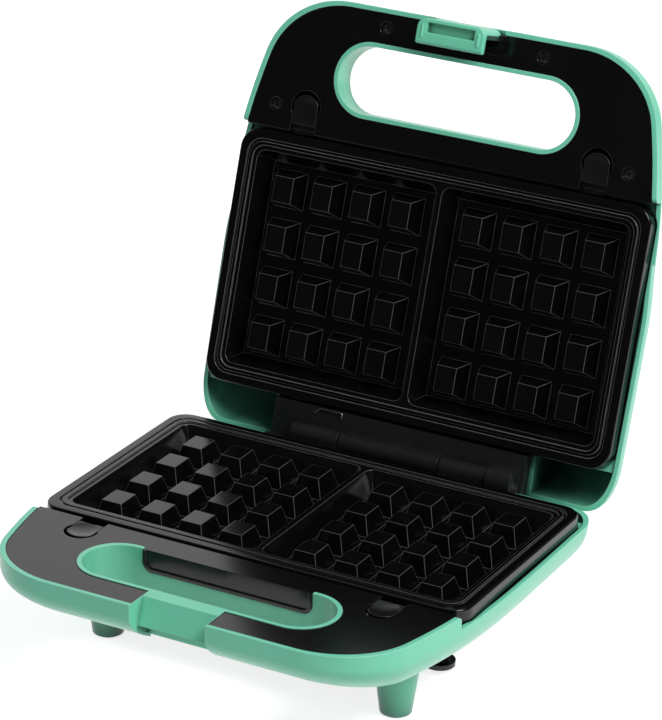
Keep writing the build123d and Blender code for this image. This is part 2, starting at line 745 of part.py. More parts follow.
def make_latch_spring():
    # coil on the pin, in the slot of the latch
    coils = latch_spring_long - 2 * latch_wire_r
    path = Helix(latch_spring_pitch, coils, latch_pin_r + pin_gap + 2 * latch_wire_r)
    section = Plane(origin=path @ 0, z_dir=path % 0) * Circle(latch_wire_r)
    coil = sweep(section, path=path, is_frenet=True)
    return Pos(-coils / 2, latch_pivot_y, -latch_pivot_depth) * Rot(0, 90, 0) * coil


def make_latch_pin():
    return rod_x(-notch_block_half - 0.5, notch_block_half + 0.5, latch_pivot_y, -latch_pivot_depth, latch_pin_r)


# ---------- feet and underside ----------
def foot(x, y, top_z):
    floor = -parting_height + foot_pad_thick
    height = top_z - floor
    return Pos(x, y, floor + height / 2) * Cone(foot_low_r, foot_top_r, height)


def make_front_feet():
    outside = lower_outer(0.0, 0.0)
    feet = []
    for sx in (-1, 1):
        feet.append(foot(sx * foot_x, front_foot_y, -foot_root_depth) - outside)
    return feet


def make_rear_feet():
    outside = lower_outer(0.0, 0.0)
    feet = []
    for sx in (-1, 1):
        feet.append(foot(sx * rear_foot_x, rear_foot_y, -foot_root_depth) - outside)
    return feet


def make_pads():
    pads = []
    for x, y in ((foot_x, front_foot_y), (-foot_x, front_foot_y),
                 (rear_foot_x, rear_foot_y), (-rear_foot_x, rear_foot_y)):
        pads.append(Pos(x, y, -parting_height + foot_pad_thick / 2) * Cylinder(foot_pad_r, foot_pad_thick))
    return pads


def make_wrap():
    # two posts with wide ends, which the cord is wound round for storage
    outside = lower_outer(0.0, 0.0)
    low = -parting_height + wrap_flange_clear
    posts = []
    for sx in (-1, 1):
        flange = Pos(sx * wrap_x, wrap_y, low + wrap_flange_thick / 2) * Cylinder(wrap_flange_r, wrap_flange_thick)
        neck = Pos(sx * wrap_x, wrap_y, (low - foot_root_depth) / 2) * Cylinder(wrap_neck_r, -foot_root_depth - low)
        posts.append((flange + neck) - outside)
    return posts


def make_gland():
    gland = Pos(gland_x, rear_reach - 1, -gland_depth) * Rot(90, 0, 0) * Cylinder(gland_r, gland_length)
    gland -= Pos(gland_x, rear_reach, -gland_depth) * Rot(90, 0, 0) * Cylinder(gland_bore_r, far)
    return gland


def make_terminal_block():
    # hangs under the reflector; one bore for each lead
    z = -dish_floor_depth
    body = block(terminal_x - terminal_half_x, terminal_x + terminal_half_x, terminal_y - terminal_half_y,
                 terminal_y + terminal_half_y, z - terminal_high, z)
    for side in (-1, 1):
        x = terminal_x + side * terminal_half_x / 2
        body -= Pos(x, terminal_y, z - lead_fall) * Rot(90, 0, 0) * Cylinder(terminal_bore_r, far)
    return body


def make_leads():
    # two leads from the cord gland to the terminal block
    z = -dish_floor_depth - lead_fall
    inner_y = rear_reach - 1 - gland_length / 2
    leads = []
    for side in (-1, 1):
        x = gland_x + side * lead_apart
        end_x = terminal_x + side * terminal_half_x / 2
        end_y = terminal_y + terminal_half_y
        turn_y = end_y + 2 * lead_bend + side * lead_bend / 2
        path = FilletPolyline((x, inner_y + 1, -gland_depth), (x, inner_y - 2 * lead_bend, z),
                              (end_x, turn_y, z), (end_x, end_y - 1, z), radius=lead_bend)
        leads.append(sweep(Plane(origin=path @ 0, z_dir=path % 0) * Circle(lead_r), path=path))
    return leads


def make_lens(sx):
    return Pos(sx * lens_spacing / 2, 40 + lens_y, -upper_depth + lens_thick / 2 - 0.8) * Box(
        2 * lens_half_x, 2 * lens_half_y, lens_thick)


# ---------- placing and writing ----------
hinge_point = (0, hinge_y - step_to_origin, parting_height + hinge_rise)


def lower(shape):
    return Pos(0, -step_to_origin, parting_height) * shape


def upper(shape):
    closed = Pos(0, -step_to_origin, parting_height) * mirror(shape, about=Plane.XY)
    return Pos(*hinge_point) * Rot(-open_angle, 0, 0) * Pos(*[-v for v in hinge_point]) * closed


def write(name, pieces, place):
    if not isinstance(pieces, list):
        pieces = [pieces]
    solids = []
    for piece in pieces:
        solids += place(piece).solids()
    print(name, len(solids), round(sum(s.volume for s in solids)))
    out = solids[0] if len(solids) == 1 else Compound(children=solids)
    export_step(out, "parts/" + name + ".step")


def main():
    os.makedirs("parts", exist_ok=True)
    write("lower_housing", make_lower_housing(), lower)
    write("upper_housing", make_upper_housing(), upper)
    write("lower_panel", make_lower_panel(), lower)
    write("upper_panel", make_upper_panel(), upper)
    plate = make_plate()
    write("lower_plate", plate, lower)
    write("upper_plate", plate, upper)
    for half, place in (("lower", lower), ("upper", upper)):
        write(half + "_release_left", make_button(-1), place)
        write(half + "_release_right", make_button(1), place)
        write(half + "_release_springs", make_release_springs(), place)
        write(half + "_reflector", make_dish(), place)
        write(half + "_element", make_element(), place)
        write(half + "_element_clips", make_element_clips(), place)
        write(half + "_thermostat", make_thermostat(), place)
    write("lower_hinge", make_lower_hinge(), lower)
    write("upper_hinge", make_upper_hinge(), upper)
    write("thermal_fuse", make_fuse(), lower)
    write("hinge_pin", make_hinge_pin(), lower)
    write("wire_clip", make_wire_clip(), upper)
    write("latch", make_latch(), upper)
    write("latch_pin", make_latch_pin(), upper)
    write("latch_spring", make_latch_spring(), upper)
    write("front_feet", make_front_feet(), lower)
    write("rear_feet", make_rear_feet(), lower)
    write("foot_pads", make_pads(), lower)
    write("cord_wrap", make_wrap(), lower)
    write("cord_gland", make_gland(), lower)
    write("terminal_block", make_terminal_block(), lower)
    write("mains_leads", make_leads(), lower)
    write("power_lens", make_lens(-1), upper)
    write("ready_lens", make_lens(1), upper)


main()
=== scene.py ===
import json
import math
import bmesh
import bpy
import numpy as np
from mathutils import Matrix, Vector


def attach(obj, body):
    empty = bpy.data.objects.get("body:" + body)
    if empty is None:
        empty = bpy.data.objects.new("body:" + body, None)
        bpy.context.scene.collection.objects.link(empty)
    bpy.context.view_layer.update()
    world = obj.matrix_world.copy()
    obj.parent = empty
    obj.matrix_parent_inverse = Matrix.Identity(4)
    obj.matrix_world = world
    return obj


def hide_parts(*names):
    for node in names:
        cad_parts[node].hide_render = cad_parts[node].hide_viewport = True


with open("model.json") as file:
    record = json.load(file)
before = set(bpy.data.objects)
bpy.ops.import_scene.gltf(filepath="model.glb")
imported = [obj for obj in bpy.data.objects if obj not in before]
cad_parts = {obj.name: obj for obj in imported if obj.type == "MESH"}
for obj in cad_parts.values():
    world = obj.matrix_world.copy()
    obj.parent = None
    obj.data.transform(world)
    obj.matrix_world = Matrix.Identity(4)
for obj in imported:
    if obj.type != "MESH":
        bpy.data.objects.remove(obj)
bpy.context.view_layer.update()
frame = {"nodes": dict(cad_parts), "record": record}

nodes = frame["nodes"]
millimetre = 0.001
print("frame loaded:", len(nodes), "nodes")


def hexToLinear(text):
    # "#rrggbb" in sRGB to the linear rgba that a shader socket takes
    channels = [int(text[i:i + 2], 16) / 255 for i in (1, 3, 5)]
    return [c / 12.92 if c <= 0.04045 else ((c + 0.055) / 1.055) ** 2.4 for c in channels] + [1.0]


def addNode(tree, kind, inputs=None, **settings):
    # one node with its own settings; each input is a value or another node's socket
    node = tree.nodes.new(kind)
    for name, value in settings.items():
        setattr(node, name, value)
    for name, value in (inputs or {}).items():
        if isinstance(value, bpy.types.NodeSocket):
            tree.links.new(value, node.inputs[name])
        else:
            node.inputs[name].default_value = value
    return node


def perMetre(sizeInMm):
    # noise scale whose cells are this wide
    return 1.0 / (sizeInMm * millimetre)


# shared by all materials: the part of the noise in use, the turn (as a cosine) at which an edge's painted highlight
# starts and is full, samples, and the numbers of a colour mix's sockets, whose names are not unique
surfaceValues = {"noiseSpan": (0.3, 0.7), "edgeHighlightSpan": (0.98, 0.80), "cloudDetail": 3.0, "grainDetail": 2.0,
                 "edgeSamples": 8, "paintedShadeSamples": 12,
                 "mixSockets": {"factor": 0, "first": 6, "second": 7, "result": 2}}


def makeMaterial(name, values):
    # moulded, cast or coated surface: mottled base colour, uneven gloss, fine bump and softened edges; where asked,
    # a painted pale highlight along the edges and painted shade in the hollows
    mix = surfaceValues["mixSockets"]
    low, high = surfaceValues["noiseSpan"]
    material = bpy.data.materials.new(name)
    material.use_nodes = True
    tree = material.node_tree
    tree.nodes.clear()
    place = addNode(tree, "ShaderNodeTexCoord").outputs["Object"]
    cloud = addNode(tree, "ShaderNodeTexNoise", {
        "Vector": place, "Scale": perMetre(values["cloudMm"]),
        "Detail": surfaceValues["cloudDetail"]}).outputs["Fac"]
    grain = addNode(tree, "ShaderNodeTexNoise", {
        "Vector": place, "Scale": perMetre(values["grainMm"]),
        "Detail": surfaceValues["grainDetail"]}).outputs["Fac"]
    edge = addNode(tree, "ShaderNodeBevel", {"Radius": values["edgeMm"] * millimetre},
                   samples=surfaceValues["edgeSamples"]).outputs["Normal"]
    ramp = addNode(tree, "ShaderNodeValToRGB", {"Fac": cloud})
    for element, position, shade in zip(ramp.color_ramp.elements, (low, high), (values["dark"], values["light"])):
        element.position = position
        element.color = hexToLinear(shade)
    colour = ramp.outputs["Color"]
    if values.get("edgeHighlightTint"):
        # painted highlight: how far the softened edge turns from the face sets a thin pale line painted along the
        # edge, where light would catch it
        face = addNode(tree, "ShaderNodeNewGeometry").outputs["Normal"]
        turn = addNode(tree, "ShaderNodeVectorMath", {0: face, 1: edge},
                       operation="DOT_PRODUCT").outputs["Value"]
        starts, full = surfaceValues["edgeHighlightSpan"]
        edgeHighlightMask = addNode(tree, "ShaderNodeMapRange", {
            "Value": turn, "From Min": starts, "From Max": full}).outputs["Result"]
        colour = addNode(tree, "ShaderNodeMix", {
            mix["factor"]: edgeHighlightMask, mix["first"]: colour, mix["second"]: hexToLinear(values["edgeHighlightTint"])},
            data_type="RGBA").outputs[mix["result"]]
    if values.get("paintedHollowShade"):
        # painted shade: ambient occlusion darkens the colour towards a dark green deep in hollows; reach in
        # millimetres, then the openness at which the colour is all painted shade and all its own
        reach, deep, shallow = values["paintedShadeReach"]
        openness = addNode(tree, "ShaderNodeAmbientOcclusion", {"Distance": reach * millimetre},
                           samples=surfaceValues["paintedShadeSamples"]).outputs["AO"]
        openness = addNode(tree, "ShaderNodeMapRange", {"Value": openness, "From Min": deep, "From Max": shallow},
                           interpolation_type="SMOOTHSTEP").outputs["Result"]
        colour = addNode(tree, "ShaderNodeMix", {
            mix["factor"]: openness, mix["first"]: hexToLinear(values["paintedHollowShade"]), mix["second"]: colour},
            data_type="RGBA").outputs[mix["result"]]
    gloss = addNode(tree, "ShaderNodeMapRange", {
        "Value": grain, "From Min": low, "From Max": high,
        "To Min": values["rough"] - values["roughSpread"],
        "To Max": values["rough"] + values["roughSpread"]}).outputs["Result"]
    bump = addNode(tree, "ShaderNodeBump", {
        "Height": grain, "Strength": 1.0, "Distance": values["bumpMm"] * millimetre,
        "Normal": edge}).outputs["Normal"]
    shader = addNode(tree, "ShaderNodeBsdfPrincipled", {
        "Base Color": colour, "Roughness": gloss, "Normal": bump})
    shader.inputs["Metallic"].default_value = values.get("metallic", 0.0)
    if not values.get("metallic"):
        shader.inputs["IOR"].default_value = values["ior"]
    addNode(tree, "ShaderNodeOutputMaterial", {"Surface": shader.outputs["BSDF"]})
    return material


# cloudMm and grainMm are the widths of the colour mottle and of the surface grain; the grain of a moulded or coated
# face is a few tenths of a millimetre wide and is drawn coarser, so that it shows

# injection-moulded ABS, through-coloured mint: satin, even colour, soft edges with a painted pale highlight,
# painted shade deep in its hollows
mintAbs = makeMaterial("mintAbs", {
    "dark": "#72d3b0", "light": "#78d8b7", "cloudMm": 60, "grainMm": 2.2,
    "rough": 0.30, "roughSpread": 0.008, "bumpMm": 0.003, "edgeMm": 0.6, "edgeHighlightTint": "#a9e8d2", "ior": 1.53,
    "paintedHollowShade": "#0a2019", "paintedShadeReach": (38, 0.24, 0.68)})
# the same ABS with black pigment from a polished tool: nearly a mirror at a low angle, with a painted grey
# highlight along its edges
blackAbs = makeMaterial("blackAbs", {
    "dark": "#080808", "light": "#0b0b0b", "cloudMm": 40, "grainMm": 1.4,
    "rough": 0.16, "roughSpread": 0.006, "bumpMm": 0.002, "edgeMm": 0.4, "edgeHighlightTint": "#3c3c3e", "ior": 1.50})
# black ABS from a spark-eroded tool, for what the fingers touch: satin, with a painted grey highlight along its
# edges
satinBlackAbs = makeMaterial("satinBlackAbs", {
    "dark": "#101011", "light": "#151516", "cloudMm": 20, "grainMm": 0.9,
    "rough": 0.26, "roughSpread": 0.01, "bumpMm": 0.004, "edgeMm": 0.4, "edgeHighlightTint": "#46464a", "ior": 1.50})
# glass-filled nylon of the hinge: dull dark grey with a fibre mottle
hingeNylon = makeMaterial("hingeNylon", {
    "dark": "#141516", "light": "#1b1c1e", "cloudMm": 18, "grainMm": 0.7,
    "rough": 0.40, "roughSpread": 0.06, "bumpMm": 0.018, "edgeMm": 0.3, "ior": 1.53})
# PTFE non-stick sprayed on cast aluminium: black, slick, faint orange peel, with a painted pale highlight along its
# edges
nonStickCoating = makeMaterial("nonStickCoating", {
    "dark": "#060606", "light": "#0a0a0a", "cloudMm": 25, "grainMm": 1.8,
    "rough": 0.17, "roughSpread": 0.008, "bumpMm": 0.002, "edgeMm": 0.5, "edgeHighlightTint": "#808084", "ior": 1.45})
# cold-rolled steel, zinc plated: grey and slightly uneven
zincSteel = makeMaterial("zincSteel", {
    "dark": "#8d8f92", "light": "#a6a8aa", "cloudMm": 6, "grainMm": 0.6,
    "rough": 0.32, "roughSpread": 0.08, "bumpMm": 0.012, "edgeMm": 0.1, "metallic": 1.0})
# aluminised steel sheet of the reflector: pale, rolled
reflectorSteel = makeMaterial("reflectorSteel", {
    "dark": "#b2b4b5", "light": "#c4c6c7", "cloudMm": 14, "grainMm": 1.2,
    "rough": 0.28, "roughSpread": 0.07, "bumpMm": 0.015, "edgeMm": 0.1, "metallic": 1.0})
# tubular heater sheath of stainless steel, browned by heat
heaterSheath = makeMaterial("heaterSheath", {
    "dark": "#3d3733", "light": "#5e5650", "cloudMm": 9, "grainMm": 0.8,
    "rough": 0.52, "roughSpread": 0.08, "bumpMm": 0.03, "edgeMm": 0.1, "metallic": 0.8})
# case-hardened screw steel with a black oxide: dark with a dull shine
screwSteel = makeMaterial("screwSteel", {
    "dark": "#4a4b4e", "light": "#626468", "cloudMm": 2, "grainMm": 0.4,
    "rough": 0.36, "roughSpread": 0.08, "bumpMm": 0.010, "edgeMm": 0.1, "metallic": 1.0})
# moulded rubber of the pads and the cord bush: matt
padRubber = makeMaterial("padRubber", {
    "dark": "#141414", "light": "#1c1c1c", "cloudMm": 12, "grainMm": 0.8,
    "rough": 0.72, "roughSpread": 0.06, "bumpMm": 0.03, "edgeMm": 0.3, "ior": 1.45})
# tinted polycarbonate lenses: deep colour, glossy
redLens = makeMaterial("redLens", {
    "dark": "#7d0d0a", "light": "#931410", "cloudMm": 5, "grainMm": 1.0,
    "rough": 0.14, "roughSpread": 0.03, "bumpMm": 0.006, "edgeMm": 0.2, "ior": 1.58})
greenLens = makeMaterial("greenLens", {
    "dark": "#0d5a24", "light": "#12702f", "cloudMm": 5, "grainMm": 1.0,
    "rough": 0.14, "roughSpread": 0.03, "bumpMm": 0.006, "edgeMm": 0.2, "ior": 1.58})
# steatite of the terminal block: unglazed, off-white
steatite = makeMaterial("steatite", {
    "dark": "#ddd8cb", "light": "#e8e4d9", "cloudMm": 8, "grainMm": 0.6,
    "rough": 0.60, "roughSpread": 0.08, "bumpMm": 0.02, "edgeMm": 0.3, "ior": 1.60})
# silicone-coated glass braid over the leads: dull white
leadBraid = makeMaterial("leadBraid", {
    "dark": "#cfcabd", "light": "#e2ded2", "cloudMm": 3, "grainMm": 0.5,
    "rough": 0.68, "roughSpread": 0.08, "bumpMm": 0.05, "edgeMm": 0.1, "ior": 1.45})

slotFinish = {"shell": mintAbs, "black_plastic": blackAbs, "hinge_plastic": hingeNylon,
              "nonstick": nonStickCoating, "bright_steel": zincSteel, "element_steel": heaterSheath,
              "thermostat_metal": reflectorSteel, "pad_rubber": padRubber,
              "red_lens": redLens, "green_lens": greenLens,
              "terminal_ceramic": steatite, "lead_insulation": leadBraid}
nodeFinish = {"lower_release_left": satinBlackAbs, "lower_release_right": satinBlackAbs,
              "upper_release_left": satinBlackAbs, "upper_release_right": satinBlackAbs}
for row in frame["record"]["subparts"]:
    mesh = nodes[row["node"]].data
    mesh.materials.clear()
    mesh.materials.append(nodeFinish.get(row["node"], slotFinish[row["material_slot"]]))
print("materials set")


# the frame's loose triangles are welded, and edges that bend less than the angle are shaded smooth
smoothValues = {"weldMm": 0.002, "angle": 28}


def smoothGroup(values):
    group = bpy.data.node_groups.new("weldAndSmooth", "GeometryNodeTree")
    group.interface.new_socket("Geometry", in_out="INPUT", socket_type="NodeSocketGeometry")
    group.interface.new_socket("Geometry", in_out="OUTPUT", socket_type="NodeSocketGeometry")
    source = addNode(group, "NodeGroupInput")
    weld = addNode(group, "GeometryNodeMergeByDistance",
                   {"Geometry": source.outputs["Geometry"], "Distance": values["weldMm"] * millimetre})
    faces = addNode(group, "GeometryNodeSetShadeSmooth", {"Geometry": weld.outputs["Geometry"]}, domain="FACE")
    bend = addNode(group, "GeometryNodeInputMeshEdgeAngle").outputs["Unsigned Angle"]
    flat = addNode(group, "FunctionNodeCompare", {"A": bend, "B": math.radians(values["angle"])},
                   data_type="FLOAT", operation="LESS_THAN")
    edges = addNode(group, "GeometryNodeSetShadeSmooth",
                    {"Geometry": faces.outputs["Geometry"], "Shade Smooth": flat.outputs["Result"]}, domain="EDGE")
    addNode(group, "NodeGroupOutput", {"Geometry": edges.outputs["Geometry"]})
    return group


shading = smoothGroup(smoothValues)
for node in nodes.values():
    modifier = node.modifiers.new("smooth", "NODES")
    modifier.node_group = shading
print("frame smoothed")


# both halves are worked out in one half frame; the lid's is mirrored in the parting plane, then swung open
halfValues = {"stepToOrigin": 40.0, "partingHeight": 63.2, "openDegrees": 107.0, "hinge": (109.8, 59.5)}


def lidPlace(points, values=halfValues):
    # half-frame millimetres (x, y, depth under the parting plane) to metres in the lid at rest
    x, y, deep = np.moveaxis(np.asarray(points, float), -1, 0)
    hingeY, hingeZ = values["hinge"]
    y = y - values["stepToOrigin"] - hingeY
    z = values["partingHeight"] + deep - hingeZ
    turn = -math.radians(values["openDegrees"])
    return np.stack([x, hingeY + y * math.cos(turn) - z * math.sin(turn),
                     hingeZ + y * math.sin(turn) + z * math.cos(turn)], -1) * millimetre


def basePlace(points, values=halfValues):
    # half-frame millimetres (x, y, depth) to metres in the base
    x, y, deep = np.moveaxis(np.asarray(points, float), -1, 0)
    return np.stack([x, y - values["stepToOrigin"], values["partingHeight"] - deep], -1) * millimetre


sharpAngle = 40    # degrees past which an edge of a made piece stays crisp


def ringMesh(name, shells, material, body):
    # each shell is a grid of points (ring, place on the ring, xyz): rings joined in order, an n-gon at each end
    points, faces = [], []
    for grid in shells:
        rings, spokes = grid.shape[:2]
        index = sum(len(part) for part in points) + np.arange(rings * spokes).reshape(rings, spokes)
        after = np.roll(index, -1, 1)
        quads = np.stack([index[:-1], index[1:], after[1:], after[:-1]], -1).reshape(-1, 4)
        faces += quads.tolist() + [index[0].tolist(), index[-1][::-1].tolist()]
        points.append(grid.reshape(-1, 3))
    mesh = bpy.data.meshes.new(name)
    mesh.from_pydata(np.concatenate(points).tolist(), [], faces)
    form = bmesh.new()
    form.from_mesh(mesh)
    bmesh.ops.recalc_face_normals(form, faces=form.faces)
    form.to_mesh(mesh)
    form.free()
    mesh.materials.append(material)
    mesh.shade_smooth()
    mesh.set_sharp_from_angle(angle=math.radians(sharpAngle))
    thing = bpy.data.objects.new(name, mesh)
    bpy.context.scene.collection.objects.link(thing)
    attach(thing, body)
    return thing


def smoothStep(t):
    # 3 t squared less 2 t cubed, held at 0 before and at 1 after
    t = np.clip(t, 0, 1)
    return t * t * (3 - 2 * t)


def roundedLoop(corners, spacing):
    # corners are (a, b, radius): each becomes an arc of arcSteps points between its tangent points, centred on
    # the corner's halving line at radius over the sine of half its angle; then the closed line is divided evenly
    arcSteps = 9
    place = np.array([corner[:2] for corner in corners], float)
    line = []
    for here, before, after, radius in zip(place, np.roll(place, 1, 0), np.roll(place, -1, 0),
                                           [corner[2] for corner in corners]):
        u = (before - here) / np.linalg.norm(before - here)
        v = (after - here) / np.linalg.norm(after - here)
        half = math.acos(float(np.clip(u @ v, -1, 1))) / 2
        middle = (u + v) / np.linalg.norm(u + v)
        centre = here + middle * radius / math.sin(half)
        start, end = here + u * radius / math.tan(half), here + v * radius / math.tan(half)
        t = np.linspace(0, 1, arcSteps)[:, None]
        swing = math.pi / 2 - half
        bow = np.sin((1 - t) * 2 * swing) / math.sin(2 * swing), np.sin(t * 2 * swing) / math.sin(2 * swing)
        line.append(centre + bow[0] * (start - centre) + bow[1] * (end - centre))
    line = np.concatenate(line + [line[0][:1]])
    run = np.concatenate([[0], np.cumsum(np.linalg.norm(np.diff(line, axis=0), axis=1))])
    steps = np.linspace(0, run[-1], int(run[-1] / spacing) + 1)[:-1]
    return np.stack([np.interp(steps, run, line[:, 0]), np.interp(steps, run, line[:, 1])], -1)


def shrunkLoop(loop, depth):
    # every point of the closed line moves inward by depth, square to the line between its neighbours
    along = np.roll(loop, -1, 0) - np.roll(loop, 1, 0)
    along /= np.linalg.norm(along, axis=1)[:, None]
    inward = np.stack([-along[:, 1], along[:, 0]], -1)
    area = np.sum(loop[:, 0] * np.roll(loop[:, 1], -1) - loop[:, 1] * np.roll(loop[:, 0], -1))
    return loop + inward * depth * np.sign(area)


def roundedEnds(half, soft, count, steps):
    # stations from -half to half with a quarter round of radius soft at each end: (place, inset) per station
    angle = np.linspace(0, math.pi / 2, steps)
    place = half - soft + soft * np.sin(angle)
    inset = soft * (1 - np.cos(angle))
    middle = np.linspace(-(half - soft), half - soft, count)[1:-1]
    return (np.concatenate([-place[::-1], middle, place]),
            np.concatenate([inset[::-1], np.zeros(count - 2), inset]))


# cross-recessed pan heads at the bottom of the four recesses of the lid panel
screwValues = {"spots": ((-98.4, -11.5), (-43.6, -59.2), (43.6, -59.2), (98.4, -11.5)),
               "seatDeep": 2.3, "headR": 2.7, "rim": 0.55, "dome": 0.55,
               "slotHalf": 0.34, "slotReach": 1.55, "slotDeep": 0.75, "soft": 0.16,
               "eye": 0.02, "rings": 44, "spokes": 96, "turns": (0.3, 1.1, 0.7, 1.3)}


def screwHead(x, y, turn, values):
    # height over the seat is rim + dome (1 - (r/R)^2), less a cross whose walls rise smoothly over soft
    r = np.concatenate([np.linspace(values["eye"], 1, values["rings"]), [1.0]])[:, None] * values["headR"]
    angle = np.linspace(0, 2 * np.pi, values["spokes"], endpoint=False)[None, :]
    across, along = r * np.cos(angle), r * np.sin(angle)
    height = values["rim"] + values["dome"] * (1 - (r / values["headR"]) ** 2) + 0 * angle
    narrow = np.minimum(abs(across), abs(along))
    wide = np.maximum(abs(across), abs(along))
    inside = np.clip((values["slotHalf"] - narrow) / values["soft"] + 0.5, 0, 1)
    inside *= np.clip((values["slotReach"] - wide) / values["soft"] + 0.5, 0, 1)
    height -= values["slotDeep"] * inside
    height[-1:] = 0.0
    px = x + across * math.cos(turn) - along * math.sin(turn)
    py = y + across * math.sin(turn) + along * math.cos(turn)
    return lidPlace(np.stack([px, py, values["seatDeep"] - height], -1))


for number, ((x, y), turn) in enumerate(zip(screwValues["spots"], screwValues["turns"]), 1):
    ringMesh("panel_screw_%d" % number, [screwHead(x, y, turn, screwValues)], screwSteel, "lid")
print("screws made")


# latch: a broad hook with a shallow pocket and two ribs, on a narrower root that turns on the pin
latchValues = {"half": 18.6, "front": -68.8, "corner": 5.5, "tip": -55.8, "reach": 17.4, "thick": 3.4,
               "neck": -65.5, "foot": -3.4, "soft": 0.9, "spacing": 0.4,
               "roundSmall": 0.9, "roundInner": 0.8, "roundTip": 1.5, "roundFace": 1.1, "ends": 6,
               "faceFrom": 1.2, "faceOver": 1.0,
               "pocketHalf": 13.2, "pocketFrom": -66.9, "pocketTo": -61.6, "pocketDeep": 2.9, "pocketSoft": 0.8,
               "ribAt": 15.4, "ribWide": 0.55, "ribHigh": 0.7, "ribFrom": -66.0, "ribTo": -58.6,
               "rootHalf": 8.8, "rootRear": -58.7, "rootTop": -4.6, "rootDeep": -11.4,
               "rootInset": 0.4, "rootLap": 2.0, "rootRound": 3.0, "rootNose": 1.5, "rootTight": 0.4,
               "rootStep": 0.6, "neckSink": 0.2, "barChamfer": 0.3,
               "earHalf": 21.3, "earR": 3.3, "earSpokes": 48, "pivot": (-62.0, -8.0)}


def latchShells(values):
    # hook: an upside-down L carried across the lid, its front corners rounded in plan, its face lowered
    # inside the pocket and raised along two ribs; root and ears are plain rounded bars
    under = values["reach"] - values["thick"]
    loop = roundedLoop([(values["front"], values["foot"], values["roundSmall"]),
                        (values["neck"], values["foot"], values["roundSmall"]),
                        (values["neck"], under, values["roundInner"]),
                        (values["tip"], under, values["roundSmall"]),
                        (values["tip"], values["reach"], values["roundTip"]),
                        (values["front"], values["reach"], values["roundFace"])], values["spacing"])
    stations = int(2 * values["half"] / values["spacing"])
    place, inset = roundedEnds(values["half"], values["soft"], stations, values["ends"])
    grid = np.stack([shrunkLoop(loop, depth) for depth in inset])
    x = np.broadcast_to(place[:, None], grid.shape[:2])
    y, z = grid[..., 0], grid[..., 1]
    turnIn = np.clip(abs(x) - (values["half"] - values["corner"]), 0, values["corner"])
    y = np.maximum(y, values["front"] + values["corner"] - np.sqrt(values["corner"] ** 2 - turnIn ** 2))
    onFace = smoothStep((z - values["reach"] + values["faceFrom"]) / values["faceOver"])
    soft = values["pocketSoft"]
    pocket = (smoothStep((values["pocketHalf"] - abs(x)) / soft) * smoothStep((y - values["pocketFrom"]) / soft)
              * smoothStep((values["pocketTo"] - y) / soft))
    rib = (np.exp(-((abs(x) - values["ribAt"]) / values["ribWide"]) ** 2)
           * smoothStep(y - values["ribFrom"]) * smoothStep(values["ribTo"] - y))
    z = z - onFace * (values["pocketDeep"] * pocket - values["ribHigh"] * rib)
    hook = np.stack([x, y, z], -1)
    rootFront, lap = values["front"] + values["rootInset"], values["foot"] + values["rootLap"]
    sunk, tight, wide = values["neck"] - values["neckSink"], values["rootTight"], values["rootRound"]
    bars = [(values["rootHalf"], roundedLoop([(rootFront, values["rootDeep"], values["rootNose"]),
                                              (values["rootRear"], values["rootDeep"], wide),
                                              (values["rootRear"], values["rootTop"], wide),
                                              (sunk, values["rootTop"], tight), (sunk, lap, tight),
                                              (rootFront, lap, tight)], values["rootStep"]))]
    angle = np.linspace(0, 2 * np.pi, values["earSpokes"], endpoint=False)
    pivotY, pivotZ = values["pivot"]
    bars.append((values["earHalf"], np.stack([pivotY + values["earR"] * np.cos(angle),
                                              pivotZ + values["earR"] * np.sin(angle)], -1)))
    shells = [hook]
    cut = values["barChamfer"]
    for half, line in bars:
        ends = np.array([-half, -half + cut, half - cut, half])
        grid = np.stack([shrunkLoop(line, depth) for depth in (cut, 0.0, 0.0, cut)])
        across = np.broadcast_to(ends[:, None], grid.shape[:2])
        shells.append(np.concatenate([across[..., None], grid], -1))
    return [lidPlace(shell * (1, 1, -1)) for shell in shells]


latchPiece = ringMesh("latch_hook", latchShells(latchValues), mintAbs, "lid_latch")
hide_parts("latch")
print("latch made")


# black cover over the latch bay, flush with the panel, slotted for the root of the latch
coverValues = {"half": 22.1, "rear": -55.9, "front": -66.0, "inner": -64.9, "slotHalf": 9.5, "slotRear": -57.6,
               "shoulder": 7.5, "throat": 1.5, "throatLong": 3.2, "rounds": (0.5, 0.3, 4.0, 1.2, 2.0, 1.0),
               "top": 0.70, "deep": 3.1, "soft": 0.3, "lip": 0.1, "spacing": 0.4}


def bayCover(values):
    # an outline in plan, the same on both sides of the middle, carried down through the panel's thickness,
    # its upper edge rounded in two steps
    half, slot = values["half"], values["slotHalf"]
    corners = [(half, values["rear"]), (half, values["front"]), (slot + values["shoulder"], values["front"]),
               (slot + values["throat"], values["inner"]), (slot, values["inner"] + values["throatLong"]),
               (slot, values["slotRear"])]
    side = [(x, y, radius) for (x, y), radius in zip(corners, values["rounds"])]
    loop = roundedLoop(side + [(-x, y, radius) for x, y, radius in side[::-1]], values["spacing"])
    top, soft, lip = values["top"], values["soft"], values["lip"]
    levels = [(top, soft), (top + lip, lip), (top + soft, 0.0), (values["deep"], 0.0)]
    return np.stack([np.concatenate([shrunkLoop(loop, inset), np.full((len(loop), 1), level)], -1)
                     for level, inset in levels])


ringMesh("latch_bay_cover", [lidPlace(bayCover(coverValues))], blackAbs, "lid")


# green shelf at each side of the latch's root, seen through the gap in the rim
shelfValues = {"inner": 9.4, "outer": 21.2, "front": -68.7, "rear": -65.6, "top": 7.7, "low": 9.6, "soft": 0.3,
               "edge": 0.4, "spacing": 0.3}


